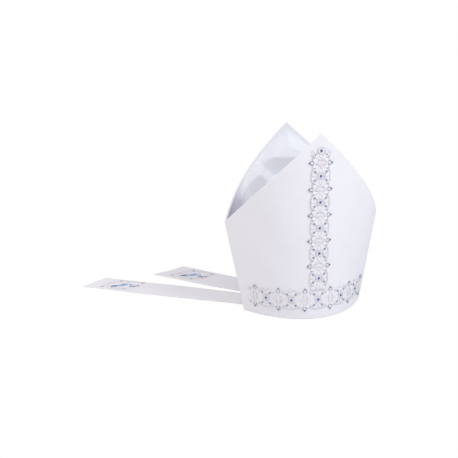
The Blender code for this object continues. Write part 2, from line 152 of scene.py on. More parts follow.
def panel_surface(side, turn, height):
    """A panel's outer surface: side -1 is the front and +1 the back, turn is -1 to 1 across it."""
    turn, height = np.broadcast_arrays(np.asarray(turn, float), np.asarray(height, float))
    across, deep = section_axes(height)
    angle = turn * SEAM_ANGLE
    return np.stack([across * np.sin(angle), side * deep * (np.cos(angle) - math.cos(SEAM_ANGLE)), height], -1)


def panel_axes(side, turn, height):
    """Unit vectors along the panel to +X, up it and out of it."""
    turn, height = np.broadcast_arrays(np.asarray(turn, float), np.asarray(height, float))
    across, deep = section_axes(height)
    angle = turn * SEAM_ANGLE
    along = unit(np.stack([across * np.cos(angle), -side * deep * np.sin(angle), 0.0 * height], -1))
    rise = panel_surface(side, turn, height + SHOULDER_HEIGHT) - panel_surface(side, turn, height)
    outward = unit(np.cross(along, rise)) * -side
    return along, np.cross(outward, along) * -side, outward


def panel_point(side, turn, height, inset):
    inset = np.asarray(inset, float)
    return panel_surface(side, turn, height) - panel_axes(side, turn, height)[2] * inset[..., None]


def top_height(turn):
    share = np.abs(turn)
    climb = 1.0 - share - EDGE_HOLLOW * share * (1.0 - share)
    return SHOULDER_HEIGHT + (PEAK_HEIGHT - SHOULDER_HEIGHT) * climb


def curve_lengths(height):
    across, deep = section_axes(height)
    angles = np.linspace(0.0, SEAM_ANGLE * CURVE_OVERRUN, CURVE_SAMPLES)
    steps = np.hypot(np.diff(across * np.sin(angles)), np.diff(deep * np.cos(angles)))
    return angles, np.concatenate([[0.0], np.cumsum(steps)])


def seam_distance(height):
    angles, lengths = curve_lengths(height)
    return float(np.interp(SEAM_ANGLE, angles, lengths))


# Turns across a panel, tabled over heights and over distances from its centre line
TABLE_HEIGHTS = np.linspace(-0.01, 0.33, 69)
TABLE_DISTANCES = np.linspace(0.0, 0.20, 201)


def make_turn_table():
    rows = []
    for height in TABLE_HEIGHTS:
        angles, lengths = curve_lengths(height)
        rows.append(np.interp(TABLE_DISTANCES, lengths, angles) / SEAM_ANGLE)
    return np.array(rows)


TURN_TABLE = make_turn_table()


def turn_at(distance, height):
    distance, height = np.broadcast_arrays(np.asarray(distance, float), np.asarray(height, float))
    row = np.interp(height, TABLE_HEIGHTS, np.arange(len(TABLE_HEIGHTS)))
    column = np.interp(np.abs(distance), TABLE_DISTANCES, np.arange(len(TABLE_DISTANCES)))
    low_row = np.minimum(row.astype(int), len(TABLE_HEIGHTS) - 2)
    low_column = np.minimum(column.astype(int), len(TABLE_DISTANCES) - 2)
    row_share = row - low_row
    column_share = column - low_column
    low = TURN_TABLE[low_row, low_column] * (1 - column_share) + TURN_TABLE[low_row, low_column + 1] * column_share
    high = (TURN_TABLE[low_row + 1, low_column] * (1 - column_share)
            + TURN_TABLE[low_row + 1, low_column + 1] * column_share)
    return np.sign(distance) * (low * (1 - row_share) + high * row_share)


def front_point(distance, height, lift):
    return panel_point(-1, turn_at(distance, height), height, -np.asarray(lift, float))


# Meshes

def piece_from(name, points, faces, cloth, finish, smooth=True):
    """A new piece riding on the hat. Cloth holds each point's place on the flat cloth or along the thread."""
    mesh = bpy.data.meshes.new(name)
    mesh.from_pydata(points, [], faces)
    mesh.update()
    if cloth is not None:
        layer = mesh.attributes.new("cloth", "FLOAT_VECTOR", "POINT")
        layer.data.foreach_set("vector", np.asarray(cloth, np.float32).ravel())
    if smooth:
        mesh.shade_smooth()
        mesh.set_sharp_from_angle(angle=math.radians(60.0))
    mesh.materials.append(finish)
    piece = bpy.data.objects.new(name, mesh)
    bpy.context.scene.collection.objects.link(piece)
    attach(piece, "root")
    return piece


def grid_quads(rows, columns, start=0):
    index = start + np.arange(rows * columns).reshape(rows, columns)
    return np.stack([index[:-1, :-1], index[:-1, 1:], index[1:, 1:], index[1:, :-1]], -1).reshape(-1, 4)


def edge_clusters(count, length, margin, edge_count):
    """Shares from 0 to 1 that crowd together within a margin at both ends of a length."""
    near = margin / length * (1.0 - np.cos(np.linspace(0.0, math.pi / 2.0, edge_count)))
    inner = np.linspace(near[-1], 1.0 - near[-1], count)
    return np.concatenate([near[:-1], inner, 1.0 - near[:-1][::-1]])


def rounded(distance, radius):
    """Share of the full thickness at a distance inside a rounded edge."""
    share = np.clip(distance / radius, 0.0, 1.0)
    return EDGE_FLAT + (1.0 - EDGE_FLAT) * np.sqrt(1.0 - (1.0 - share) ** 2)


EDGE_FLAT = 0.12


def shell_faces(rows, columns):
    """Quads of two grids, the second one turned over, and of the strip that joins their borders."""
    size = rows * columns
    top = grid_quads(rows, columns)
    bottom = grid_quads(rows, columns, size)[:, ::-1]
    index = np.arange(size).reshape(rows, columns)
    border = np.concatenate([index[0, :-1], index[:-1, -1], index[-1, :0:-1], index[:0:-1, 0]])
    after = np.roll(border, -1)
    strip = np.stack([border + size, after + size, after, border], -1)
    return np.concatenate([top, bottom, strip])


def grid_normals(points):
    """Unit normals of a grid, on the side where its rows and columns turn anticlockwise."""
    across = np.gradient(points, axis=1)
    along = np.gradient(points, axis=0)
    return unit(np.cross(across, along))


def shell_points(middle, outward, half):
    return np.concatenate([(middle + outward * half[..., None]).reshape(-1, 3),
                           (middle - outward * half[..., None]).reshape(-1, 3)])


def two_sided_cloth(across, along):
    """Places on the flat cloth for both faces of a shell; the third number tells the faces apart."""
    flat = np.stack([across, along, 0.0 * across], -1).reshape(-1, 3)
    return np.concatenate([flat, flat + (0.0, 0.0, 1.0)])


# Materials

def new_group(name, inputs, outputs):
    group = bpy.data.node_groups.new(name, "ShaderNodeTree")
    for label, kind, value in inputs:
        socket = group.interface.new_socket(label, in_out="INPUT", socket_type=kind)
        if value is not None:
            socket.default_value = value
    for label, kind in outputs:
        group.interface.new_socket(label, in_out="OUTPUT", socket_type=kind)
    start = group.nodes.new("NodeGroupInput")
    end = group.nodes.new("NodeGroupOutput")
    return group, start, end


class Wiring:
    """Short ways to add nodes to one tree."""

    def __init__(self, tree):
        self.tree = tree

    def link(self, source, target):
        self.tree.links.new(source, target)

    def feed(self, socket, value):
        if isinstance(value, bpy.types.NodeSocket):
            self.link(value, socket)
        else:
            socket.default_value = value

    def math(self, operation, first, second=None):
        node = self.tree.nodes.new("ShaderNodeMath")
        node.operation = operation
        self.feed(node.inputs[0], first)
        if second is not None:
            self.feed(node.inputs[1], second)
        return node.outputs[0]

    def scaled(self, vector, scale):
        node = self.tree.nodes.new("ShaderNodeVectorMath")
        node.operation = "MULTIPLY"
        self.feed(node.inputs[0], vector)
        self.feed(node.inputs[1], scale)
        return node.outputs[0]

    def parts(self, vector):
        node = self.tree.nodes.new("ShaderNodeSeparateXYZ")
        self.link(vector, node.inputs[0])
        return node.outputs

    def noise(self, vector, scale, detail=2.0, roughness=0.5):
        node = self.tree.nodes.new("ShaderNodeTexNoise")
        self.feed(node.inputs["Vector"], vector)
        self.feed(node.inputs["Scale"], scale)
        node.inputs["Detail"].default_value = detail
        node.inputs["Roughness"].default_value = roughness
        return node.outputs["Fac"]

    def ranged(self, value, low, high, to_low=0.0, to_high=1.0):
        node = self.tree.nodes.new("ShaderNodeMapRange")
        self.feed(node.inputs["Value"], value)
        node.inputs["From Min"].default_value = low
        node.inputs["From Max"].default_value = high
        self.feed(node.inputs["To Min"], to_low)
        self.feed(node.inputs["To Max"], to_high)
        return node.outputs["Result"]

    def mixed(self, share, first, second):
        node = self.tree.nodes.new("ShaderNodeMix")
        node.data_type = "RGBA"
        self.feed(node.inputs[0], share)
        self.feed(node.inputs[6], first)
        self.feed(node.inputs[7], second)
        return node.outputs[2]

    def cloth_place(self):
        node = self.tree.nodes.new("ShaderNodeAttribute")
        node.attribute_name = "cloth"
        return node.outputs["Vector"]

    def group(self, group, **values):
        node = self.tree.nodes.new("ShaderNodeGroup")
        node.node_tree = group
        for label, value in values.items():
            self.feed(node.inputs[label.replace("_", " ")], value)
        return node.outputs


def make_weave_group():
    """Plain weave: the height of its crossing threads, and a mask of the hollows between them."""
    group, start, end = new_group(
        "plain_weave",
        [("Place", "NodeSocketVector", None), ("Threads per metre", "NodeSocketFloat", 1000.0)],
        [("Height", "NodeSocketFloat"), ("Hollows", "NodeSocketFloat")])
    wires = Wiring(group)
    place = start.outputs["Place"]
    count = wires.math("MULTIPLY", start.outputs["Threads per metre"], math.pi)
    x, y, _ = wires.parts(place)
    warp = wires.math("SINE", wires.math("MULTIPLY", x, count))
    weft = wires.math("SINE", wires.math("MULTIPLY", y, count))
    crossing = wires.math("MULTIPLY", warp, weft)
    slub = wires.noise(wires.scaled(place, (1.0, 0.12, 1.0)), 1400.0)
    cross_slub = wires.noise(wires.scaled(place, (0.12, 1.0, 1.0)), 1400.0)
    uneven = wires.math("SUBTRACT", wires.math("ADD", slub, cross_slub), 1.0)
    height = wires.math("ADD", wires.math("MULTIPLY", crossing, 0.5), uneven)
    wires.link(height, end.inputs["Height"])
    hollow = wires.math("MULTIPLY", wires.math("ABSOLUTE", warp), wires.math("ABSOLUTE", weft))
    wires.link(wires.ranged(hollow, 0.0, 0.35, 1.0, 0.0), end.inputs["Hollows"])
    return group


def make_tone_group():
    """Slow change of tone over cloth, from its own colour to a second one."""
    group, start, end = new_group(
        "cloth_tone",
        [("Place", "NodeSocketVector", None), ("Colour", "NodeSocketColor", None),
         ("Second colour", "NodeSocketColor", None), ("Patch size", "NodeSocketFloat", 0.05)],
        [("Colour", "NodeSocketColor"), ("Tone", "NodeSocketFloat")])
    wires = Wiring(group)
    scale = wires.math("DIVIDE", 1.0, start.outputs["Patch size"])
    patches = wires.ranged(wires.noise(start.outputs["Place"], scale, 4.0, 0.6), 0.32, 0.68)
    wires.link(wires.mixed(patches, start.outputs["Colour"], start.outputs["Second colour"]),
               end.inputs["Colour"])
    wires.link(patches, end.inputs["Tone"])
    return group


def make_stitch_group():
    """Satin stitches lying side by side: their rounded height, the gaps between and a broken shine."""
    group, start, end = new_group(
        "satin_stitches",
        [("Place", "NodeSocketVector", None), ("Stitches per metre", "NodeSocketFloat", 2500.0),
         ("Slant", "NodeSocketFloat", 0.0)],
        [("Height", "NodeSocketFloat"), ("Gaps", "NodeSocketFloat"), ("Shine", "NodeSocketFloat")])
    wires = Wiring(group)
    place = start.outputs["Place"]
    x, y, _ = wires.parts(place)
    shifted = wires.math("ADD", x, wires.math("MULTIPLY", y, start.outputs["Slant"]))
    turns = wires.math("MULTIPLY", start.outputs["Stitches per metre"], math.pi)
    wave = wires.math("ABSOLUTE", wires.math("SINE", wires.math("MULTIPLY", shifted, turns)))
    frayed = wires.noise(wires.scaled(place, (1.0, 0.2, 1.0)), 2600.0, 3.0)
    wires.link(wires.math("ADD", wave, wires.math("MULTIPLY", frayed, 0.5)), end.inputs["Height"])
    wires.link(wires.ranged(wave, 0.0, 0.5, 1.0, 0.0), end.inputs["Gaps"])
    wires.link(wires.noise(place, 900.0, 3.0), end.inputs["Shine"])
    return group


WEAVE = make_weave_group()
TONE = make_tone_group()
STITCHES = make_stitch_group()


def new_material(name, roughness=0.5, sheen=0.0, specular=0.5, metallic=0.0):
    material = bpy.data.materials.new(name)
    material.use_nodes = True
    shader = material.node_tree.nodes["Principled BSDF"]
    shader.inputs["Roughness"].default_value = roughness
    shader.inputs["Sheen Weight"].default_value = sheen
    shader.inputs["Specular IOR Level"].default_value = specular
    shader.inputs["Metallic"].default_value = metallic
    return material, shader, Wiring(material.node_tree)


def add_bump(wires, shader, height, distance, strength=1.0):
    bump = wires.tree.nodes.new("ShaderNodeBump")
    bump.inputs["Distance"].default_value = distance
    bump.inputs["Strength"].default_value = strength
    wires.link(height, bump.inputs["Height"])
    wires.link(bump.outputs["Normal"], shader.inputs["Normal"])


def make_woven(name, colour, second, hollow, threads, bump, roughness, sheen, patch=0.05, shine=(0.0, 0.0),
               painted_corner_shade=None):
    material, shader, wires = new_material(name, roughness, sheen)
    place = wires.cloth_place()
    weave = wires.group(WEAVE, Place=place, Threads_per_metre=threads)
    tone = wires.group(TONE, Place=place, Colour=(*colour, 1.0), Second_colour=(*second, 1.0), Patch_size=patch)
    # The hollows between the threads are mixed towards the darker hollow colour: painted shade
    dimmed = wires.mixed(wires.math("MULTIPLY", weave["Hollows"], 0.5), tone["Colour"], (*hollow, 1.0))
    # Painted shade: the colour darkens towards both ends of the satin, in its corners
    if painted_corner_shade:
        start, end, shade = painted_corner_shade
        reach = wires.math("ABSOLUTE", wires.parts(place)["X"])
        dimmed = wires.mixed(wires.ranged(reach, start, end), dimmed, (*shade, 1.0))
    wires.link(dimmed, shader.inputs["Base Color"])
    wires.link(wires.ranged(tone["Tone"], 0.0, 1.0, roughness - shine[0], roughness + shine[1]),
               shader.inputs["Roughness"])
    add_bump(wires, shader, weave["Height"], bump)
    return material


def make_stitched(name, colour, second, gap_shade, stitches, bump, roughness, slant=0.0, sheen=0.1, metallic=0.0):
    material, shader, wires = new_material(name, roughness, sheen, metallic=metallic)
    place = wires.cloth_place()
    satin = wires.group(STITCHES, Place=place, Stitches_per_metre=stitches, Slant=slant)
    tone = wires.group(TONE, Place=place, Colour=(*colour, 1.0), Second_colour=(*second, 1.0), Patch_size=0.006)
    # The gaps between the stitches are mixed towards the darker gap colour: painted shade
    dimmed = wires.mixed(wires.math("MULTIPLY", satin["Gaps"], 0.6), tone["Colour"], (*gap_shade, 1.0))
    wires.link(dimmed, shader.inputs["Base Color"])
    wires.link(wires.ranged(satin["Shine"], 0.3, 0.7, roughness - 0.12, roughness + 0.12),
               shader.inputs["Roughness"])
    add_bump(wires, shader, satin["Height"], bump)
    return material


def make_stone_material():
    material, shader, wires = new_material("cut_blue_stone", roughness=0.05, specular=0.8)
    coordinates = wires.tree.nodes.new("ShaderNodeTexCoord").outputs["Object"]
    clouds = wires.ranged(wires.noise(coordinates, 700.0, 3.0), 0.35, 0.65)
    wires.link(wires.mixed(clouds, (0.035, 0.070, 0.19, 1.0), (0.09, 0.17, 0.36, 1.0)),
               shader.inputs["Base Color"])
    wires.link(wires.ranged(clouds, 0.0, 1.0, 0.04, 0.10), shader.inputs["Roughness"])
    return material


# Painted shade where the satin goes down into the dark corners: where it begins and where it is full, from its middle
# in metres, and its colour there
GUSSET_PAINTED_CORNER_SHADE = (0.098, 0.152, (0.45, 0.42, 0.50))
# A cloth's third colour is painted shade in the hollows between its threads; a thread's third colour is painted shade
# in the gaps between its stitches
MATERIALS = {
    "ivory_weave": make_woven("ivory_weave", (0.83, 0.815, 0.845), (0.81, 0.79, 0.82), (0.71, 0.69, 0.72), 2200.0,
                              0.00005, 0.78, 0.15),
    "lappet_weave": make_woven("lappet_weave", (0.83, 0.81, 0.845), (0.80, 0.78, 0.815), (0.70, 0.68, 0.715),
                               2200.0, 0.00005, 0.78, 0.15),
    # The gusset satin gets painted shade towards its ends, in the corners
    "gusset_satin": make_woven("gusset_satin", (0.77, 0.77, 0.80), (0.73, 0.73, 0.765), (0.66, 0.66, 0.70), 4200.0,
                               0.00002, 0.42, 0.10, 0.08, (0.05, 0.06),
                               GUSSET_PAINTED_CORNER_SHADE),
    "band_ground": make_woven("band_ground", (0.86, 0.845, 0.87), (0.83, 0.81, 0.84), (0.74, 0.71, 0.74), 2600.0,
                              0.00006, 0.50, 0.15, 0.012, (0.08, 0.08)),
    "taupe_thread": make_stitched("taupe_thread", (0.70, 0.65, 0.67), (0.77, 0.73, 0.75), (0.55, 0.50, 0.52), 1500.0,
                                  0.0001, 0.36, 1.0),
    "silver_thread": make_stitched("silver_thread", (0.80, 0.78, 0.80), (0.86, 0.84, 0.86), (0.66, 0.63, 0.66),
                                   1500.0, 0.0001, 0.34, 1.0),
    "dark_thread": make_stitched("dark_thread", (0.58, 0.53, 0.56), (0.66, 0.61, 0.64), (0.42, 0.38, 0.41), 1500.0,
                                 0.0001, 0.38, 1.0),
    "blue_thread": make_stitched("blue_thread", (0.14, 0.24, 0.38), (0.24, 0.36, 0.50), (0.06, 0.11, 0.19), 1500.0,
                                 0.0001, 0.45, 1.0),
    "pale_blue_thread": make_stitched("pale_blue_thread", (0.50, 0.55, 0.68), (0.62, 0.66, 0.77), (0.33, 0.36, 0.47),
                                      1500.0, 0.0001, 0.45, 1.0),
    "lilac_stitches": make_stitched("lilac_stitches", (0.74, 0.73, 0.81), (0.81, 0.80, 0.86), (0.60, 0.59, 0.68),
                                    2600.0, 0.00012, 0.42),
    "white_stitches": make_stitched("white_stitches", (0.86, 0.86, 0.88), (0.82, 0.81, 0.84), (0.64, 0.62, 0.66),
                                    2600.0, 0.00012, 0.42),
    "blue_stitches": make_stitched("blue_stitches", (0.05, 0.13, 0.36), (0.12, 0.24, 0.52), (0.03, 0.06, 0.18),
                                   2600.0, 0.00012, 0.42),
    "sky_stitches": make_stitched("sky_stitches", (0.30, 0.50, 0.74), (0.42, 0.60, 0.80), (0.16, 0.30, 0.50),
                                  2600.0, 0.00012, 0.42),
    "grey_stitches": make_stitched("grey_stitches", (0.30, 0.36, 0.54), (0.40, 0.46, 0.62), (0.18, 0.22, 0.36),
                                   2600.0, 0.00012, 0.42),
    "cut_blue_stone": make_stone_material(),
}


# Panels: stiff walls with rounded edges

PANEL_EDGE_ROUNDING = 0.0014
PANEL_COLUMNS = 201
PANEL_ROWS = 150
EDGE_LOOPS = 7
PANEL_UNEVENNESS = 0.0004


def soft_waves(across, along, seed, size):
    """A smooth unevenness of hand-made cloth, from -1 to 1."""
    draw = np.random.default_rng(seed)
    total = 0.0 * across
    for _ in range(7):
        direction = draw.uniform(0.0, 2.0 * math.pi)
        length = size * draw.uniform(0.6, 1.6)
        phase = draw.uniform(0.0, 2.0 * math.pi)
        total = total + np.sin((across * math.cos(direction) + along * math.sin(direction))
                               * 2.0 * math.pi / length + phase)
    return total / 7.0 * 1.6


def make_panel(name, side, seed):
    turns = 2.0 * edge_clusters(PANEL_COLUMNS, 2.0 * seam_distance(SHOULDER_HEIGHT), PANEL_WALL, EDGE_LOOPS) - 1.0
    shares = edge_clusters(PANEL_ROWS, PEAK_HEIGHT, PANEL_WALL, EDGE_LOOPS)
    turn, share = np.meshgrid(turns * -side, shares)
    height = share * top_height(turn)
    from_edge = np.minimum((top_height(turn) - height) * 0.73, height)
    from_seam = (1.0 - np.abs(turn)) * seam_distance(SHOULDER_HEIGHT)
    half = PANEL_WALL / 2.0 * rounded(np.minimum(from_edge, from_seam + 0.0006), PANEL_EDGE_ROUNDING)
    distance = turn * seam_distance(SHOULDER_HEIGHT)
    calm = np.clip(np.minimum(from_edge, from_seam) / 0.02, 0.0, 1.0)
    uneven = PANEL_UNEVENNESS * (soft_waves(distance, height, seed, 0.09) - 1.0) * calm
    middle = panel_point(side, turn, height, PANEL_WALL / 2.0 - uneven)
    outward = panel_axes(side, turn, height)[2]
    points = shell_points(middle, outward, half)
    limit = CLEARANCE / 2.0
    points[:, 1] = np.minimum(points[:, 1], -limit) if side < 0 else np.maximum(points[:, 1], limit)
    points[:, 2] = np.clip(points[:, 2], 0.0, None)
    piece = piece_from(name + "_cloth", points, shell_faces(*turn.shape), two_sided_cloth(distance, height),
                       MATERIALS["ivory_weave"])
    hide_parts(name)
    return piece


# Gusset: the satin valley with its folds

GUSSET_ACROSS = 171
GUSSET_DEEP = 281


def gusset_edge(turn, height):
    return panel_point(1, turn, height, PANEL_WALL + CLEARANCE + GUSSET_THICKNESS / 2.0)


def gusset_end_turn():
    turns = np.linspace(0.0, 1.0, 2 * CURVE_SAMPLES)
    gaps = gusset_edge(turns, top_height(turns) - GUSSET_SEAM_DROP)[:, 1]
    return float(turns[gaps > GUSSET_END_GAP / 2.0][-1])


def smooth_step(share):
    share = np.clip(share, 0.0, 1.0)
    return share * share * (3.0 - 2.0 * share)


def pleat_depth(side, turn, height):
    """How far the pleats stand out from the valley's sides, as a share of its depth."""
    climb_height = PEAK_HEIGHT - SHOULDER_HEIGHT
    reach = seam_distance(SHOULDER_HEIGHT)
    deepest = 0.0 * turn
    for pleat_side, from_turn, from_climb, to_turn, to_climb, run, drop, lip in PLEATS:
        start = np.array([from_turn * reach, from_climb * climb_height])
        line = np.array([to_turn * reach, to_climb * climb_height]) - start
        x = turn * reach - start[0]
        y = height - SHOULDER_HEIGHT - start[1]
        share = (x * line[0] + y * line[1]) / (line @ line)
        above = (line[0] * y - line[1] * x) * math.copysign(1.0, line[0]) / np.linalg.norm(line) / climb_height
        slope = np.clip(np.where(above > 0.0, 1.0 - above / run, 1.0 + above / drop), 0.0, 1.0)
        along = np.sin(math.pi * np.clip(share, 0.0, 1.0)) ** PLEAT_END_TAPER
        deepest = np.maximum(deepest, np.where(side == pleat_side, lip * slope * along, 0.0))
    return deepest


def make_gusset():
    end = gusset_end_turn()
    valley_end = top_height(end) - GUSSET_VALLEY_END_DROP
    across, deep = np.meshgrid(np.linspace(-1.0, 1.0, GUSSET_ACROSS), np.linspace(-1.0, 1.0, GUSSET_DEEP))
    turn = across * end
    side = np.where(deep > 0.0, 1, -1)
    edge = top_height(turn) - GUSSET_SEAM_DROP
    valley = GUSSET_VALLEY_HEIGHT + (valley_end - GUSSET_VALLEY_HEIGHT) * np.abs(across) ** GUSSET_VALLEY_ROUNDING
    rise = np.abs(deep) ** GUSSET_ROW_SPREAD
    height = valley + (edge - valley) * rise
    depth = 1.0 - (1.0 - rise) ** GUSSET_HANG
    free = smooth_step((1.0 - rise) / PLEAT_SEAM_SHARE / 2.5) * smooth_step(rise / PLEAT_SEAM_SHARE)
    depth = depth - pleat_depth(side, turn, height) * free * depth
    wall = gusset_edge(turn, height)
    middle = np.stack([wall[..., 0], wall[..., 1] * depth * side, height], -1)
    outward = grid_normals(middle)
    half = np.full(turn.shape, GUSSET_THICKNESS / 2.0)
    along = np.concatenate([np.zeros((1, GUSSET_ACROSS)),
                            np.cumsum(np.linalg.norm(np.diff(middle, axis=0), axis=-1), axis=0)])
    piece = piece_from("gusset_satin", shell_points(middle, outward, half), shell_faces(*turn.shape),
                       two_sided_cloth(turn * seam_distance(SHOULDER_HEIGHT), along),
                       MATERIALS["gusset_satin"])
    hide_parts("gusset")
    return piece


# Lappets

LAPPET_ACROSS = 41
LAPPET_ALONG_STEP = 0.0022
LAPPET_BEND_ROWS = 9
LAPPET_EDGE_ROUNDING = 0.0009
LAPPET_RIPPLE = 0.0005
CURLS = {"right_lappet": 0.0, "left_lappet": 0.0022}


def hem_frame(distance):
    """Points on the back panel's outer face at the hem, and the ways out of it."""
    turn = turn_at(distance, 0.0)
    outward = panel_axes(1, turn, 0.0 * turn)[2] * (1.0, 1.0, 0.0)
    return panel_surface(1, turn, 0.0 * turn), unit(outward)


def heading_vector(degrees):
    radians = np.radians(degrees)
    return np.stack([np.cos(radians), np.sin(radians), 0.0 * radians], -1)


def lappet_root(name):
    edge = LAPPET_FIRST_MARGIN - seam_distance(0.0)
    for row in LAPPETS:
        span = row[1] * LAPPET_ROOT_SPAN
        if row[0] == name:
            return edge + span / 2.0
        edge += span + LAPPET_SPACING


def lappet_centre_line(row, count):
    """Lengths, places and headings of a lappet's centre line on the surface, from its fold to its end."""
    name, _, run_share, _, heading, end_heading, _ = row
    foot, outward = hem_frame(lappet_root(name))
    start = foot + outward * (CLEARANCE + LAPPET_THICKNESS / 2.0 + LAPPET_BEND_RADIUS)
    run = run_share * LAPPET_RUN
    lengths = np.linspace(0.0, run, count + 1)
    middles = (lengths[1:] + lengths[:-1]) / 2.0 / run
    ahead = heading_vector(heading + (end_heading - heading) * middles)
    places = start + np.cumsum(ahead * np.diff(lengths)[:, None], axis=0)
    return lengths[1:], places, ahead


def make_lappet(row, seed):
    name, span_share, run_share, end_share, heading, end_heading, end_skew = row
    half = LAPPET_THICKNESS / 2.0
    root = lappet_root(name)
    span = span_share * LAPPET_ROOT_SPAN
    run = run_share * LAPPET_RUN
    end_width = end_share * LAPPET_END_WIDTH
    root_width = span * float(hem_frame(root)[1] @ heading_vector(heading))
    lengths, places, headings = lappet_centre_line(row, round(run / LAPPET_ALONG_STEP))
    across = 2.0 * edge_clusters(LAPPET_ACROSS, LAPPET_END_WIDTH, LAPPET_THICKNESS, EDGE_LOOPS) - 1.0

    def standing(height, swing):
        distance = root - across * span / 2.0
        wall = panel_point(1, turn_at(distance, 0.0), height, -(CLEARANCE + half))
        return wall + hem_frame(distance)[1] * LAPPET_BEND_RADIUS * (1.0 - math.cos(swing))

    rows = []
    for height in np.linspace(LAPPET_ROOT_RISE, LAPPET_BEND_RADIUS + half, LAPPET_BEND_ROWS)[:-1]:
        rows.append(standing(height, 0.0))
    for swing in np.linspace(0.0, math.pi / 2.0, LAPPET_BEND_ROWS):
        rows.append(standing(half + LAPPET_BEND_RADIUS * (1.0 - math.sin(swing)), swing))
    fold = rows[-1]
    fold_middle = fold[len(across) // 2]
    for length, place, ahead in zip(lengths, places, headings):
        sideways = np.cross(ahead, (0.0, 0.0, 1.0))
        width = root_width + (end_width - root_width) * min(1.0, length / LAPPET_SPREAD_RUN)
        square = place - sideways * across[:, None] * width / 2.0
        square = square + ahead * across[:, None] * width / 2.0 * end_skew * length / run
        share = smooth_step(length / LAPPET_SQUARING_RUN)
        point = (fold + place - fold_middle) * (1.0 - share) + square * share
        point[:, 2] = half
        rows.append(point)
    middle = np.array(rows)
    steps = np.linalg.norm(np.diff(middle, axis=0), axis=-1)
    along = np.concatenate([np.zeros((1, len(across))), np.cumsum(steps, axis=0)])
    side_way = np.broadcast_to(across * end_width / 2.0, along.shape)
    lying = np.clip((along - LAPPET_ROOT_RISE - 0.012) / 0.03, 0.0, 1.0)
    ripple = (soft_waves(side_way, along * 0.6, seed, 0.11) + 1.0) * LAPPET_RIPPLE * lying
    curl = CURLS[name] * (along / along[-1]) ** 1.5 * smooth_step((0.1 - across) / 1.1)
    middle[..., 2] += ripple + curl
    from_end = np.minimum(along[-1] - along, along)
    from_side = (1.0 - np.abs(across)) * end_width / 2.0
    thick = half * rounded(np.minimum(from_end, from_side), LAPPET_EDGE_ROUNDING)
    points = shell_points(middle, -grid_normals(middle), thick)
    points[:, 2] = np.clip(points[:, 2], 0.0, None)
    piece = piece_from(name + "_cloth", points, shell_faces(*along.shape), two_sided_cloth(side_way, along),
                       MATERIALS["lappet_weave"])
    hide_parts(name)
    length = along[:, len(across) // 2]
    faces_up = middle - grid_normals(middle) * half

    def surface(from_end, sideways, rise):
        """Points over the lappet's upper face, from its end and from its middle towards the far side."""
        row = np.interp(length[-1] - from_end, length, np.arange(len(length)))
        column = np.interp(-sideways / (end_width / 2.0), across, np.arange(len(across)))
        low_row = np.minimum(row.astype(int), len(length) - 2)
        low_column = np.minimum(column.astype(int), len(across) - 2)
        up = (row - low_row)[..., None]
        over = (column - low_column)[..., None]
        near = faces_up[low_row, low_column] * (1 - over) + faces_up[low_row, low_column + 1] * over
        far = faces_up[low_row + 1, low_column] * (1 - over) + faces_up[low_row + 1, low_column + 1] * over
        point = near * (1 - up) + far * up
        point[..., 2] += rise
        return point

    return surface


# Bands: ground cloth, threads, padded stitches and stones

GROUND_LIFT = CLEARANCE + EMBROIDERY_THICKNESS
BAND_STEP = 0.0009
BAND_COLUMNS = 15
THREAD_SIDES = 6
THREAD_STEP = 0.0007
BANDS = {
    # pitch of each band, and whether it runs upright
    "vertical_orphrey": {"pitch": VERTICAL_PITCH, "upright": True},
    "hem_orphrey": {"pitch": HEM_PITCH, "upright": False},
}
FIRST_HEIGHT = HEM_BAND_HEIGHT + FIRST_MEDALLION_RISE
SQUARE_HEIGHT = PEAK_HEIGHT - TOP_SQUARE_MARGIN
MEDALLION_COUNT = round((SQUARE_HEIGHT - FIRST_HEIGHT) / VERTICAL_PITCH)
VERTICAL_START = (HEM_BAND_HEIGHT + MEDALLION_HALF_WIDTH + CLEARANCE - FIRST_HEIGHT) / VERTICAL_PITCH
VERTICAL_END = (SQUARE_HEIGHT + TOP_SQUARE_HALF - FIRST_HEIGHT) / VERTICAL_PITCH
SQUARE_START = (SQUARE_HEIGHT - TOP_SQUARE_HALF - FIRST_HEIGHT) / VERTICAL_PITCH
HEM_REACH = (seam_distance(HEM_BAND_HEIGHT) - HEM_BAND_END_MARGIN) / HEM_PITCH

# One medallion's strands: thread, what it is mirrored across, whether it closes, and its points as
# millimetres along the band and across it from the medallion's stone
MEDALLION_STRANDS = [
    ("dark_thread", "along", False, [(7, -9.8), (5.3, -5), (4.9, 0), (5.3, 5), (7, 9.8)]),
    ("dark_thread", "across", False, [(6.5, 9.8), (2, 5.9), (0, 5.5), (-2, 5.9), (-6.5, 9.8)]),
    ("taupe_thread", "both", False, [(13, 11.5), (10, 14.3), (6, 16.2), (3, 16.4), (0, 15.3)]),
    ("silver_thread", "both", False, [(11.6, 11.6), (9, 13.2), (5.6, 14.8), (3, 14.9), (0, 13.6)]),
    ("taupe_thread", "both", False, [(6.6, 1.2), (9.2, 3.4), (11.8, 2.2), (13.5, 0.6), (15.7, 2), (16.6, 4.5),
                                     (14.4, 6.6), (12.2, 7.2)]),
    ("dark_thread", "both", True, [(12.9, 9.2), (13.9, 11.4), (12.9, 13.6), (11.9, 11.4)]),
    ("taupe_thread", "both", False, [(12.9, 13.6), (15.7, 13.6), (19.2, 12.8), (21.2, 12.9)]),
    ("pale_blue_thread", "both", True, [(9.3, 9.8), (8.7, 11.3), (7.2, 12.0), (5.7, 11.3), (5.0, 9.8), (5.7, 8.3),
                                        (7.2, 7.6), (8.7, 8.3)]),
    ("lilac_thread", "none", True, [(4.4, 4.4), (4.5, 0), (4.4, -4.4), (0, -4.7), (-4.4, -4.4), (-4.5, 0),
                                    (-4.4, 4.4), (0, 4.7)]),
]
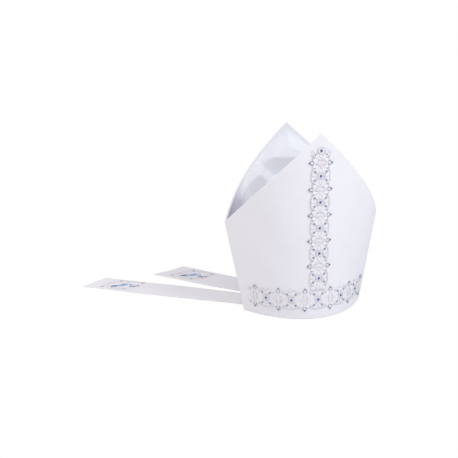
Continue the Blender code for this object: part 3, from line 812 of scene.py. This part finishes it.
# Strands of the neck between two medallions, from the middle of the neck
NECK_STRANDS = [
    ("taupe_thread", "none", True, [(0, 7.8), (2.2, 6.0), (3.2, 2.5), (3.2, -2.5), (2.2, -6.0), (0, -7.8),
                                    (-2.2, -6.0), (-3.2, -2.5), (-3.2, 2.5), (-2.2, 6.0)]),
    ("dark_thread", "none", False, [(0.9, -13.4), (-1.4, -10.8), (-2.6, -8), (-3.2, -4), (-3.3, 0), (-3.2, 4),
                                    (-2.6, 8), (-1.4, 10.8), (0.9, 13.4)]),
    ("silver_thread", "none", False, [(-0.9, -13.4), (1.4, -10.8), (2.8, -8), (4.2, -4), (4.5, 0), (4.2, 4),
                                      (2.8, 8), (1.4, 10.8), (-0.9, 13.4)]),
    ("blue_thread", "across", False, [(-2.2, 12.6), (-2.9, 14.6), (-1.8, 17.6), (0, 20.5), (1.8, 17.6), (2.9, 14.6),
                                      (2.2, 12.6)]),
]
# Strands over the last medallion, in millimetres along from it
CROWN_STRANDS = [
    ("taupe_thread", "across", False, [(30.6, 13.4), (35.0, 15), (40.6, 15.4), (42.4, 14.6), (40.6, 13),
                                       (36.7, 11.6)]),
    ("dark_thread", "none", False, [(35.0, -9.3), (37.6, -5.5), (38.5, 0), (37.6, 5.5), (35.0, 9.3)]),
    ("dark_thread", "none", True, [(45.4, 5.2), (45.4, -5.2), (36.6, -5.2), (36.6, 5.2)]),
]
CROWN_STONE_ALONG = -8.7
# Strands below the first medallion, from half a pitch under it
FOOT_STRANDS = [
    ("taupe_thread", "across", False, [(-4.4, 12.4), (-1.0, 12.6), (0.9, 13.4)]),
    ("silver_thread", "across", False, [(4.2, 4), (2.8, 8), (1.4, 10.8), (-0.9, 13.0), (-4.4, 11.0)]),
    ("taupe_thread", "across", False, [(3.2, 0), (3.2, 2.5), (2.2, 6.0), (-1.0, 8.2), (-4.6, 8.4)]),
    ("taupe_thread", "across", False, [(-5.0, 1.2), (-2.2, 3.2), (-2.6, 5.6), (-5.0, 6.2)]),
]
# Padded stitches of a medallion and of a neck: finish, along, across, half sizes, roundness, height
MEDALLION_PADS = [
    ("lilac_stitches", 0.0, 0.0, 4.2, 4.4, 4.0, 0.35),
    ("white_stitches", 0.0, 9.8, 2.5, 2.8, 2.4, 0.80),
    ("white_stitches", 0.0, -9.8, 2.5, 2.8, 2.4, 0.80),
]
NECK_PADS = [
    ("white_stitches", 0.0, 0.0, 1.4, 5.2, 2.6, 0.60),
]
THREADS = {
    # radius and colour of each thread
    "dark_thread": (0.00030, "dark_thread"),
    "taupe_thread": (0.00028, "taupe_thread"),
    "silver_thread": (0.00028, "silver_thread"),
    "blue_thread": (0.00042, "blue_thread"),
    "pale_blue_thread": (0.00028, "pale_blue_thread"),
    "lilac_thread": (0.00024, "silver_thread"),
}

# The hem band is worked in finer, paler threads
HEM_THREAD_SHARE = 0.85
HEM_FINISHES = {"dark_thread": "taupe_thread", "taupe_thread": "silver_thread"}


def band_half_width(place, pitch, spikes_from, spikes_to):
    offset = np.abs(place - np.round(place))
    swell = (0.5 + 0.5 * np.cos(2.0 * math.pi * offset)) ** SWELL_SHARPNESS
    width = NECK_HALF_WIDTH + (MEDALLION_HALF_WIDTH - NECK_HALF_WIDTH) * swell
    from_spike = (0.5 - offset) * pitch
    spiked = SPIKE_REACH - (SPIKE_REACH - NECK_HALF_WIDTH) * from_spike / SPIKE_HALF_BASE
    inside = (spikes_from < place) & (place < spikes_to)
    return np.where(inside, np.maximum(width, spiked), width)


def band_point(upright, along, across, lift):
    """A point over the front: along and across the band in metres from its medallion nought."""
    if upright:
        return front_point(across, FIRST_HEIGHT + along, lift)
    return front_point(along, HEM_BAND_HEIGHT + across, lift)


def band_outward(upright, along, across):
    if upright:
        distance, height = across, FIRST_HEIGHT + along
    else:
        distance, height = along, HEM_BAND_HEIGHT + across
    return panel_axes(-1, turn_at(distance, height), height)[2]


def make_ground(name, upright, pitch, start, end, spikes_to):
    count = math.ceil((end - start) * pitch / BAND_STEP)
    shares = np.linspace(0.0, 1.0, count)
    places = start + (end - start) * shares
    width = band_half_width(places, pitch, -spikes_to if not upright else 0.0, spikes_to)
    if upright:
        width = np.where(places >= SQUARE_START, TOP_SQUARE_HALF, width)
    columns = 2.0 * edge_clusters(BAND_COLUMNS, 1.0, 0.06, 4) - 1.0
    along = np.broadcast_to((places * pitch)[:, None], (count, len(columns)))
    across = width[:, None] * columns
    from_edge = np.minimum(width[:, None] * (1.0 - np.abs(columns)),
                           np.minimum(along - along[0], along[-1] - along))
    thick = EMBROIDERY_THICKNESS * rounded(from_edge, EMBROIDERY_THICKNESS)
    base = 0.00005
    top = band_point(upright, along, across, base + thick)
    bottom = band_point(upright, along, across, np.full(along.shape, base))
    if upright:
        top, bottom = bottom, top
    points = np.concatenate([top.reshape(-1, 3), bottom.reshape(-1, 3)])
    piece = piece_from(name + "_ground", points, shell_faces(*along.shape), two_sided_cloth(across, along),
                       MATERIALS["band_ground"])
    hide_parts(name)
    return piece


def smooth_path(points, closed, step):
    """A curve through the points, sampled at about even steps."""
    points = np.array(points, float)
    if closed:
        knots = np.concatenate([points[-1:], points, points[:2]])
    else:
        knots = np.concatenate([2.0 * points[:1] - points[1:2], points, 2.0 * points[-1:] - points[-2:-1]])
    path = []
    for before, start, end, after in zip(knots[:-3], knots[1:-2], knots[2:-1], knots[3:]):
        count = max(2, math.ceil(np.linalg.norm(end - start) / step))
        t = np.arange(count)[:, None] / count
        path.append(0.5 * (2.0 * start + (end - before) * t + (2.0 * before - 5.0 * start + 4.0 * end - after) * t ** 2
                           + (3.0 * start - before - 3.0 * end + after) * t ** 3))
    if not closed:
        path.append(points[-1:])
    return np.concatenate(path)


MIRRORS = {"none": [(1, 1)], "along": [(1, 1), (-1, 1)], "across": [(1, 1), (1, -1)],
           "both": [(1, 1), (-1, 1), (1, -1), (-1, -1)]}


def strand_runs(strands, shift, scale, low, high):
    """Runs of thread, in metres along and across a band, cut where the band starts and ends."""
    runs = []
    for thread, mirror, closed, points in strands:
        for flip_along, flip_across in MIRRORS[mirror]:
            path = smooth_path(points, closed, THREAD_STEP / MM) * (flip_along * scale, flip_across)
            path = path * MM + (shift, 0.0)
            inside = (path[:, 0] >= low) & (path[:, 0] <= high)
            if inside.all():
                runs.append((thread, path, closed))
                continue
            if closed:
                turned = int(np.argmin(inside))
                path = np.roll(path, -turned, axis=0)
                inside = np.roll(inside, -turned)
            breaks = np.flatnonzero(np.diff(inside.astype(int))) + 1
            for piece, keep in zip(np.split(path, breaks), np.split(inside, breaks)):
                if keep[0] and len(piece) > 2:
                    runs.append((thread, piece, False))
    return runs


def tube(points, outward, closed, radius, start):
    """A thread as a tube: its points, faces numbered from start, and places along and round it."""
    if closed:
        tangent = np.roll(points, -1, axis=0) - np.roll(points, 1, axis=0)
    else:
        tangent = np.gradient(points, axis=0)
    tangent = unit(tangent)
    sideways = unit(np.cross(tangent, outward))
    up = np.cross(sideways, tangent)
    angles = np.arange(THREAD_SIDES) * 2.0 * math.pi / THREAD_SIDES
    ring = (sideways[:, None] * np.cos(angles)[:, None] + up[:, None] * np.sin(angles)[:, None]) * radius
    count = len(points)
    vertices = (points[:, None] + ring).reshape(-1, 3)
    index = start + np.arange(count * THREAD_SIDES).reshape(count, THREAD_SIDES)
    following = np.roll(index, -1, axis=0) if closed else index[1:]
    index_here = index if closed else index[:-1]
    faces = np.stack([index_here, np.roll(index_here, -1, axis=1), np.roll(following, -1, axis=1), following],
                     -1).reshape(-1, 4).tolist()
    if not closed:
        faces.append(index[0][::-1].tolist())
        faces.append(index[-1].tolist())
    lengths = np.concatenate([[0.0], np.cumsum(np.linalg.norm(np.diff(points, axis=0), axis=-1))])
    cloth = np.stack(np.broadcast_arrays(lengths[:, None], angles * radius, 0.0), -1).reshape(-1, 3)
    return vertices, faces, cloth


def make_threads(prefix, upright, runs):
    for thread, (radius, finish) in THREADS.items():
        if not upright:
            radius *= HEM_THREAD_SHARE
            finish = HEM_FINISHES.get(thread, finish)
        vertices, faces, cloth = [], [], []
        total = 0
        for kind, path, closed in runs:
            if kind != thread:
                continue
            along, across = path.T
            centre = band_point(upright, along, across, np.full(len(path), GROUND_LIFT + radius * 0.6))
            part, part_faces, part_cloth = tube(centre, band_outward(upright, along, across), closed, radius, total)
            vertices.append(part)
            faces += part_faces
            cloth.append(part_cloth)
            total += len(part)
        if total:
            piece_from(f"{prefix}_{thread}", np.concatenate(vertices), faces, np.concatenate(cloth),
                       MATERIALS[finish])


PAD_RINGS = 6
PAD_SIDES = 28


def dome(place, half_along, half_across, roundness, height, start):
    """A pad of stitches: a low dome over a rounded oblong, as shares for place() and its faces."""
    angles = np.arange(PAD_SIDES) * 2.0 * math.pi / PAD_SIDES
    cosines, sines = np.cos(angles), np.sin(angles)
    reach = (np.abs(cosines) ** roundness + np.abs(sines) ** roundness) ** (-1.0 / roundness)
    rings = np.sin(np.linspace(1.0, 0.12, PAD_RINGS) * math.pi / 2.0)
    along = rings[:, None] * reach * cosines * half_along
    across = rings[:, None] * reach * sines * half_across
    rise = np.broadcast_to(height * np.sqrt(1.0 - (rings * 0.98) ** 2)[:, None], along.shape)
    foot = (along[:1], across[:1], np.full((1, PAD_SIDES), -0.0003))
    along, across, rise = (np.concatenate(pair) for pair in zip(foot, (along, across, rise)))
    vertices = place(along.ravel(), across.ravel(), rise.ravel())
    count = PAD_RINGS + 1
    index = start + np.arange(count * PAD_SIDES).reshape(count, PAD_SIDES)
    faces = np.stack([index[:-1], np.roll(index[:-1], -1, axis=1), np.roll(index[1:], -1, axis=1), index[1:]],
                     -1).reshape(-1, 4).tolist()
    faces.append(index[0][::-1].tolist())
    faces.append(index[-1].tolist())
    cloth = np.stack([along.ravel(), across.ravel(), 0.0 * along.ravel()], -1)
    return vertices, faces, cloth


def make_pads(prefix, upright, pads):
    """Joins the pads of one finish into one piece. Each row also holds where its medallion is."""
    for finish in sorted({pad[1] for pad in pads}):
        vertices, faces, cloth = [], [], []
        total = 0
        for shift, kind, pad_along, pad_across, half_along, half_across, roundness, height in pads:
            if kind != finish:
                continue

            def place(along, across, rise):
                return band_point(upright, shift + pad_along * MM + along, pad_across * MM + across,
                                  GROUND_LIFT + rise)

            part, part_faces, part_cloth = dome(place, half_along * MM, half_across * MM, roundness, height * MM,
                                                total)
            vertices.append(part)
            faces += part_faces
            cloth.append(part_cloth)
            total += len(part)
        piece_from(f"{prefix}_{finish}", np.concatenate(vertices), faces, np.concatenate(cloth),
                   MATERIALS[finish])


# Cut stones

GIRDLE_SIDES = 16
CROWN_SIDES = 8
CROWN_SHARE = 0.82
CROWN_RISE = 0.55
TABLE_SHARE = 0.52
GIRDLE_RISE = 0.22


def add_gem(bm, radius, height, middle, along, up, outward):
    """A round cut stone: a girdle, eight kite facets, their triangles and an eight-sided table."""
    rows = [
        (GIRDLE_SIDES, 0.0, 1.0, 0.0),
        (GIRDLE_SIDES, 0.0, 1.0, GIRDLE_RISE),
        (CROWN_SIDES, 0.5, CROWN_SHARE, CROWN_RISE),
        (CROWN_SIDES, 0.0, TABLE_SHARE, 1.0),
    ]
    corners = []
    for sides, turned, reach, rise in rows:
        for step in range(sides):
            angle = (step + turned) * 2.0 * math.pi / sides
            corners.append(middle + (along * math.cos(angle) + up * math.sin(angle)) * radius * reach
                           + outward * height * rise)
    vertices = [bm.verts.new(corner) for corner in corners]
    bmesh.ops.convex_hull(bm, input=vertices)


def make_gems(name, spots, radius, height, lift):
    """One piece of cut stones at spots given as distance from the centre line and height."""
    whole = bmesh.new()
    for distance, stone_height in spots:
        bm = bmesh.new()
        turn = turn_at(distance, stone_height)
        along, up, outward = panel_axes(-1, turn, stone_height)
        add_gem(bm, radius, height, front_point(distance, stone_height, lift), along, up, outward)
        bmesh.ops.delete(bm, geom=[vertex for vertex in bm.verts if not vertex.link_faces], context="VERTS")
        part = bpy.data.meshes.new("part")
        bm.to_mesh(part)
        bm.free()
        whole.from_mesh(part)
        bpy.data.meshes.remove(part)
    mesh = bpy.data.meshes.new(name)
    whole.to_mesh(mesh)
    whole.free()
    mesh.materials.append(MATERIALS["cut_blue_stone"])
    piece = bpy.data.objects.new(name, mesh)
    bpy.context.scene.collection.objects.link(piece)
    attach(piece, "root")
    return piece


CORNER_ALONG = 0.0072
CORNER_ACROSS = 0.0098
SPIKE_STONE_ACROSS = 0.0188


def make_vertical_band():
    pitch = VERTICAL_PITCH
    make_ground("vertical_orphrey", True, pitch, VERTICAL_START, VERTICAL_END, MEDALLION_COUNT)
    low, high = VERTICAL_START * pitch + 0.0003, VERTICAL_END * pitch + 0.0002
    runs, pads, spots = [], [], []
    for number in range(MEDALLION_COUNT):
        shift = number * pitch
        runs += strand_runs(MEDALLION_STRANDS, shift, 1.0, low, high)
        runs += strand_runs(NECK_STRANDS, shift + pitch / 2.0, 1.0, low, high)
        pads += [(shift, *pad) for pad in MEDALLION_PADS]
        pads += [(shift + pitch / 2.0, *pad) for pad in NECK_PADS]
        spots += [(across, FIRST_HEIGHT + shift + along) for along in (-CORNER_ALONG, CORNER_ALONG)
                  for across in (-CORNER_ACROSS, CORNER_ACROSS)]
        spots += [(across, FIRST_HEIGHT + shift + pitch / 2.0) for across in (-SPIKE_STONE_ACROSS, SPIKE_STONE_ACROSS)]
    crown = MEDALLION_COUNT * pitch
    runs += strand_runs(MEDALLION_STRANDS, crown, 1.0, low, crown + CROWN_STONE_ALONG * MM)
    runs += strand_runs(CROWN_STRANDS, crown - pitch, 1.0, low, high + 0.002)
    runs += strand_runs(FOOT_STRANDS, -pitch / 2.0, 1.0, low, high)
    spots += [(across, FIRST_HEIGHT + crown + CROWN_STONE_ALONG * MM) for across in (-CORNER_ACROSS, CORNER_ACROSS)]
    make_threads("vertical", True, runs)
    make_pads("vertical", True, pads)
    make_gems("vertical_small_stones", spots, SMALL_STONE_RADIUS, SMALL_STONE_HEIGHT, GROUND_LIFT)
    return [(0.0, FIRST_HEIGHT + number * pitch) for number in range(MEDALLION_COUNT)] + [(0.0, SQUARE_HEIGHT)]


def make_hem_band():
    pitch = HEM_PITCH
    scale = HEM_PITCH / VERTICAL_PITCH
    make_ground("hem_orphrey", False, pitch, -HEM_REACH, HEM_REACH, HEM_REACH)
    low, high = -HEM_REACH * pitch + 0.0002, HEM_REACH * pitch - 0.0002
    last = math.ceil(HEM_REACH)
    runs, pads, spots = [], [], []
    for number in range(-last, last + 1):
        shift = number * pitch
        runs += strand_runs(MEDALLION_STRANDS, shift, scale, low, high)
        if abs(shift) < high:
            pads += [(shift, *pad) for pad in MEDALLION_PADS]
            spots += [(shift + along * scale, HEM_BAND_HEIGHT + across) for along in (-CORNER_ALONG, CORNER_ALONG)
                      for across in (-CORNER_ACROSS, CORNER_ACROSS)]
        shift += pitch / 2.0
        runs += strand_runs(NECK_STRANDS, shift, scale, low, high)
        if abs(shift) < high:
            pads += [(shift, *pad) for pad in NECK_PADS]
            spots += [(shift, HEM_BAND_HEIGHT + across) for across in (-SPIKE_STONE_ACROSS, SPIKE_STONE_ACROSS)]
    make_threads("hem", False, runs)
    make_pads("hem", False, pads)
    make_gems("hem_small_stones", spots, SMALL_STONE_RADIUS, SMALL_STONE_HEIGHT, GROUND_LIFT)
    return [(number * pitch, HEM_BAND_HEIGHT) for number in range(-2, 3)]


# Lappet embroidery

MOTIF_CENTRE_FROM_END = 0.0640
MOTIF_STRANDS = [
    ("pale_blue_thread", "none", True, [(-6.6, 0), (-5.2, 6.6), (0, 10.4), (5.2, 6.6), (6.6, 0), (5.2, -6.6),
                                        (0, -10.4), (-5.2, -6.6)]),
    ("pale_blue_thread", "none", True, [(-4.4, 0), (-3.4, 4.6), (0, 7.2), (3.4, 4.6), (4.4, 0), (3.4, -4.6),
                                        (0, -7.2), (-3.4, -4.6)]),
    ("blue_thread", "none", False, [(-5.6, -3), (-6.5, -9), (-9, -12), (-12.4, -18.4)]),
    ("blue_thread", "none", False, [(-12.4, -18.4), (-15.4, -13), (-12.6, -7.4), (-7.4, -6.6)]),
    ("blue_thread", "none", False, [(6.6, 1), (10.5, 6.4), (14.5, 6), (17.5, -1), (19, -5), (22, 0), (25, 0),
                                    (28.5, 6)]),
    ("dark_thread", "none", True, [(-24, -14), (-27, 0), (-20, 13), (-8, 22), (6, 24), (20, 20), (28, 8), (26, -6),
                                    (18, -17), (4, -23), (-12, -21)]),
    ("taupe_thread", "none", True, [(-32, -8), (-31, 12), (-22, 24), (-4, 27), (16, 25.5), (31, 16), (34, 0),
                                     (27, -18), (10, -26), (-12, -26), (-27, -21)]),
    ("dark_thread", "none", True, [(-33.4, -22), (-30, -18.6), (-26.6, -22), (-30, -25.4)]),
    ("dark_thread", "none", True, [(23.8, 23.6), (27.2, 26.8), (30.8, 23.6), (27.2, 20.2)]),
]
# Padded stitches: finish, along and across the lappet, half sizes, roundness, height
MOTIF_PADS = [
    ("sky_stitches", 0.0, 0.0, 6.2, 8.4, 2.0, 0.4),
    ("grey_stitches", 0.0, 0.0, 3.8, 5.8, 2.0, 0.7),
    ("sky_stitches", 0.0, -15.4, 3.0, 1.8, 2.0, 0.4),
    ("sky_stitches", 0.0, 16.0, 3.4, 1.6, 2.0, 0.4),
    ("blue_stitches", -7.4, -8.6, 2.4, 2.9, 2.0, 0.7),
    ("sky_stitches", -10.0, -9.6, 2.0, 2.2, 2.0, 0.6),
    ("blue_stitches", -12.6, -14.6, 2.8, 3.6, 2.0, 0.7),
    ("blue_stitches", -7.6, -13.6, 2.2, 2.6, 2.0, 0.7),
    ("sky_stitches", 12.4, 6.4, 2.2, 2.2, 2.0, 0.5),
    ("blue_stitches", 18.2, -3.4, 2.5, 3.0, 2.0, 0.7),
    ("blue_stitches", 23.4, -0.6, 3.4, 2.6, 2.0, 0.8),
    ("blue_stitches", 28.2, 4.4, 2.6, 3.0, 2.0, 0.8),
    ("grey_stitches", -20.0, 20.6, 2.8, 2.2, 2.0, 0.5),
    ("grey_stitches", 15.6, -20.2, 2.8, 1.9, 2.0, 0.5),
    ("grey_stitches", -28.0, -22.0, 2.6, 2.6, 2.0, 0.5),
    ("grey_stitches", 26.0, 22.0, 2.6, 2.6, 2.0, 0.5),
]


def make_motif(row, lappet_surface):
    name = row[0] + "_motif"

    def surface(along, across, rise):
        return lappet_surface(MOTIF_CENTRE_FROM_END + np.asarray(along), np.asarray(across), rise)

    first = True
    for finish in sorted({pad[0] for pad in MOTIF_PADS}):
        vertices, faces, cloth = [], [], []
        total = 0
        for kind, pad_along, pad_across, half_along, half_across, roundness, height in MOTIF_PADS:
            if kind != finish:
                continue

            def place(along, across, rise):
                return surface(pad_along * MM + along, pad_across * MM + across, rise)

            part, part_faces, part_cloth = dome(place, half_along * MM, half_across * MM, roundness, height * MM,
                                                total)
            vertices.append(part)
            faces += part_faces
            cloth.append(part_cloth)
            total += len(part)
        piece = piece_from(f"{name}_{finish}", np.concatenate(vertices), faces, np.concatenate(cloth),
                           MATERIALS[finish])
        if first:
            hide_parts(name)
            first = False
    runs = strand_runs(MOTIF_STRANDS, 0.0, 1.0, -1.0, 1.0)
    for thread, (radius, finish) in THREADS.items():
        vertices, faces, cloth = [], [], []
        total = 0
        for kind, path, closed in runs:
            if kind != thread:
                continue
            centre = surface(path[:, 0], path[:, 1], np.full(len(path), radius * 0.6))
            outward = np.broadcast_to((0.0, 0.0, 1.0), centre.shape)
            part, part_faces, part_cloth = tube(centre, outward, closed, radius, total)
            vertices.append(part)
            faces += part_faces
            cloth.append(part_cloth)
            total += len(part)
        if total:
            piece_from(f"{name}_{thread}", np.concatenate(vertices), faces, np.concatenate(cloth),
                       MATERIALS[finish])


# Stage

def camera_only_white(tree, output, dim_shader):
    """Lets camera rays see plain white and all other rays the dim shader."""
    path = tree.nodes.new("ShaderNodeLightPath")
    mix = tree.nodes.new("ShaderNodeMixShader")
    tree.links.new(path.outputs["Is Camera Ray"], mix.inputs[0])
    tree.links.new(dim_shader, mix.inputs[1])
    tree.links.new(mix.outputs[0], output)
    return mix.inputs[2]


def make_stage():
    mesh = bpy.data.meshes.new("floor")
    corners = [(-FLOOR_HALF, -FLOOR_HALF, 0.0), (FLOOR_HALF, -FLOOR_HALF, 0.0), (FLOOR_HALF, FLOOR_HALF, 0.0),
               (-FLOOR_HALF, FLOOR_HALF, 0.0)]
    mesh.from_pydata(corners, [], [(0, 1, 2, 3)])
    material, shader, wires = new_material("pale_floor", roughness=0.9)
    shader.inputs["Base Color"].default_value = (0.78, 0.78, 0.78, 1.0)
    output = material.node_tree.nodes["Material Output"].inputs["Surface"]
    seen = camera_only_white(material.node_tree, output, shader.outputs[0])
    glow = material.node_tree.nodes.new("ShaderNodeEmission")
    material.node_tree.links.new(glow.outputs[0], seen)
    mesh.materials.append(material)
    floor = bpy.data.objects.new("floor", mesh)
    bpy.context.scene.collection.objects.link(floor)
    world = bpy.data.worlds.new("white_studio")
    world.use_nodes = True
    tree = world.node_tree
    dim = tree.nodes["Background"]
    dim.inputs["Color"].default_value = (*WORLD_COLOUR, 1.0)
    dim.inputs["Strength"].default_value = WORLD_LIGHT
    bright = tree.nodes.new("ShaderNodeBackground")
    bright.inputs["Color"].default_value = (1.0, 1.0, 1.0, 1.0)
    seen = camera_only_white(tree, tree.nodes["World Output"].inputs["Surface"], dim.outputs[0])
    tree.links.new(bright.outputs[0], seen)
    bpy.context.scene.world = world
    for name, place, size, power, colour in LIGHTS:
        light = bpy.data.lights.new(name, "AREA")
        light.shape = "DISK"
        light.size = size
        light.energy = power
        light.color = colour
        lamp = bpy.data.objects.new(name, light)
        lamp.location = place
        aim = np.array(CAMERA_TARGET) - place
        lamp.rotation_euler = direction_turn(aim)
        bpy.context.scene.collection.objects.link(lamp)
    bpy.context.scene.view_settings.view_transform = "Standard"


def direction_turn(aim):
    """Turns that point an object's own -Z along a direction, with its X level."""
    flat = math.hypot(aim[0], aim[1])
    return (math.atan2(flat, -aim[2]), 0.0, math.atan2(-aim[0], aim[1]))


def make_camera():
    data = bpy.data.cameras.new("photo_camera")
    data.lens = CAMERA_LENS
    data.sensor_width = 36.0
    data.shift_x, data.shift_y = CAMERA_SHIFT
    back = np.array([math.sin(CAMERA_TURN) * math.cos(CAMERA_RISE), -math.cos(CAMERA_TURN) * math.cos(CAMERA_RISE),
                     math.sin(CAMERA_RISE)])
    camera = bpy.data.objects.new("photo_camera", data)
    camera.location = np.array(CAMERA_TARGET) + back * CAMERA_DISTANCE
    camera.rotation_euler = direction_turn(-back)
    bpy.context.scene.collection.objects.link(camera)
    bpy.context.scene.camera = camera


make_camera()
make_stage()
make_panel("front_panel", -1, 3)
make_panel("back_panel", 1, 5)
make_gusset()
for number, lappet in enumerate(LAPPETS):
    make_motif(lappet, make_lappet(lappet, 11 + number))
centres = make_hem_band() + make_vertical_band()
for number, spot in enumerate(centres, 1):
    node = f"centre_stone_{number:02d}"
    gem = make_gems(node + "_gem", [spot], CENTRE_STONE_RADIUS, CENTRE_STONE_HEIGHT, GROUND_LIFT + CLEARANCE)
    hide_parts(node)
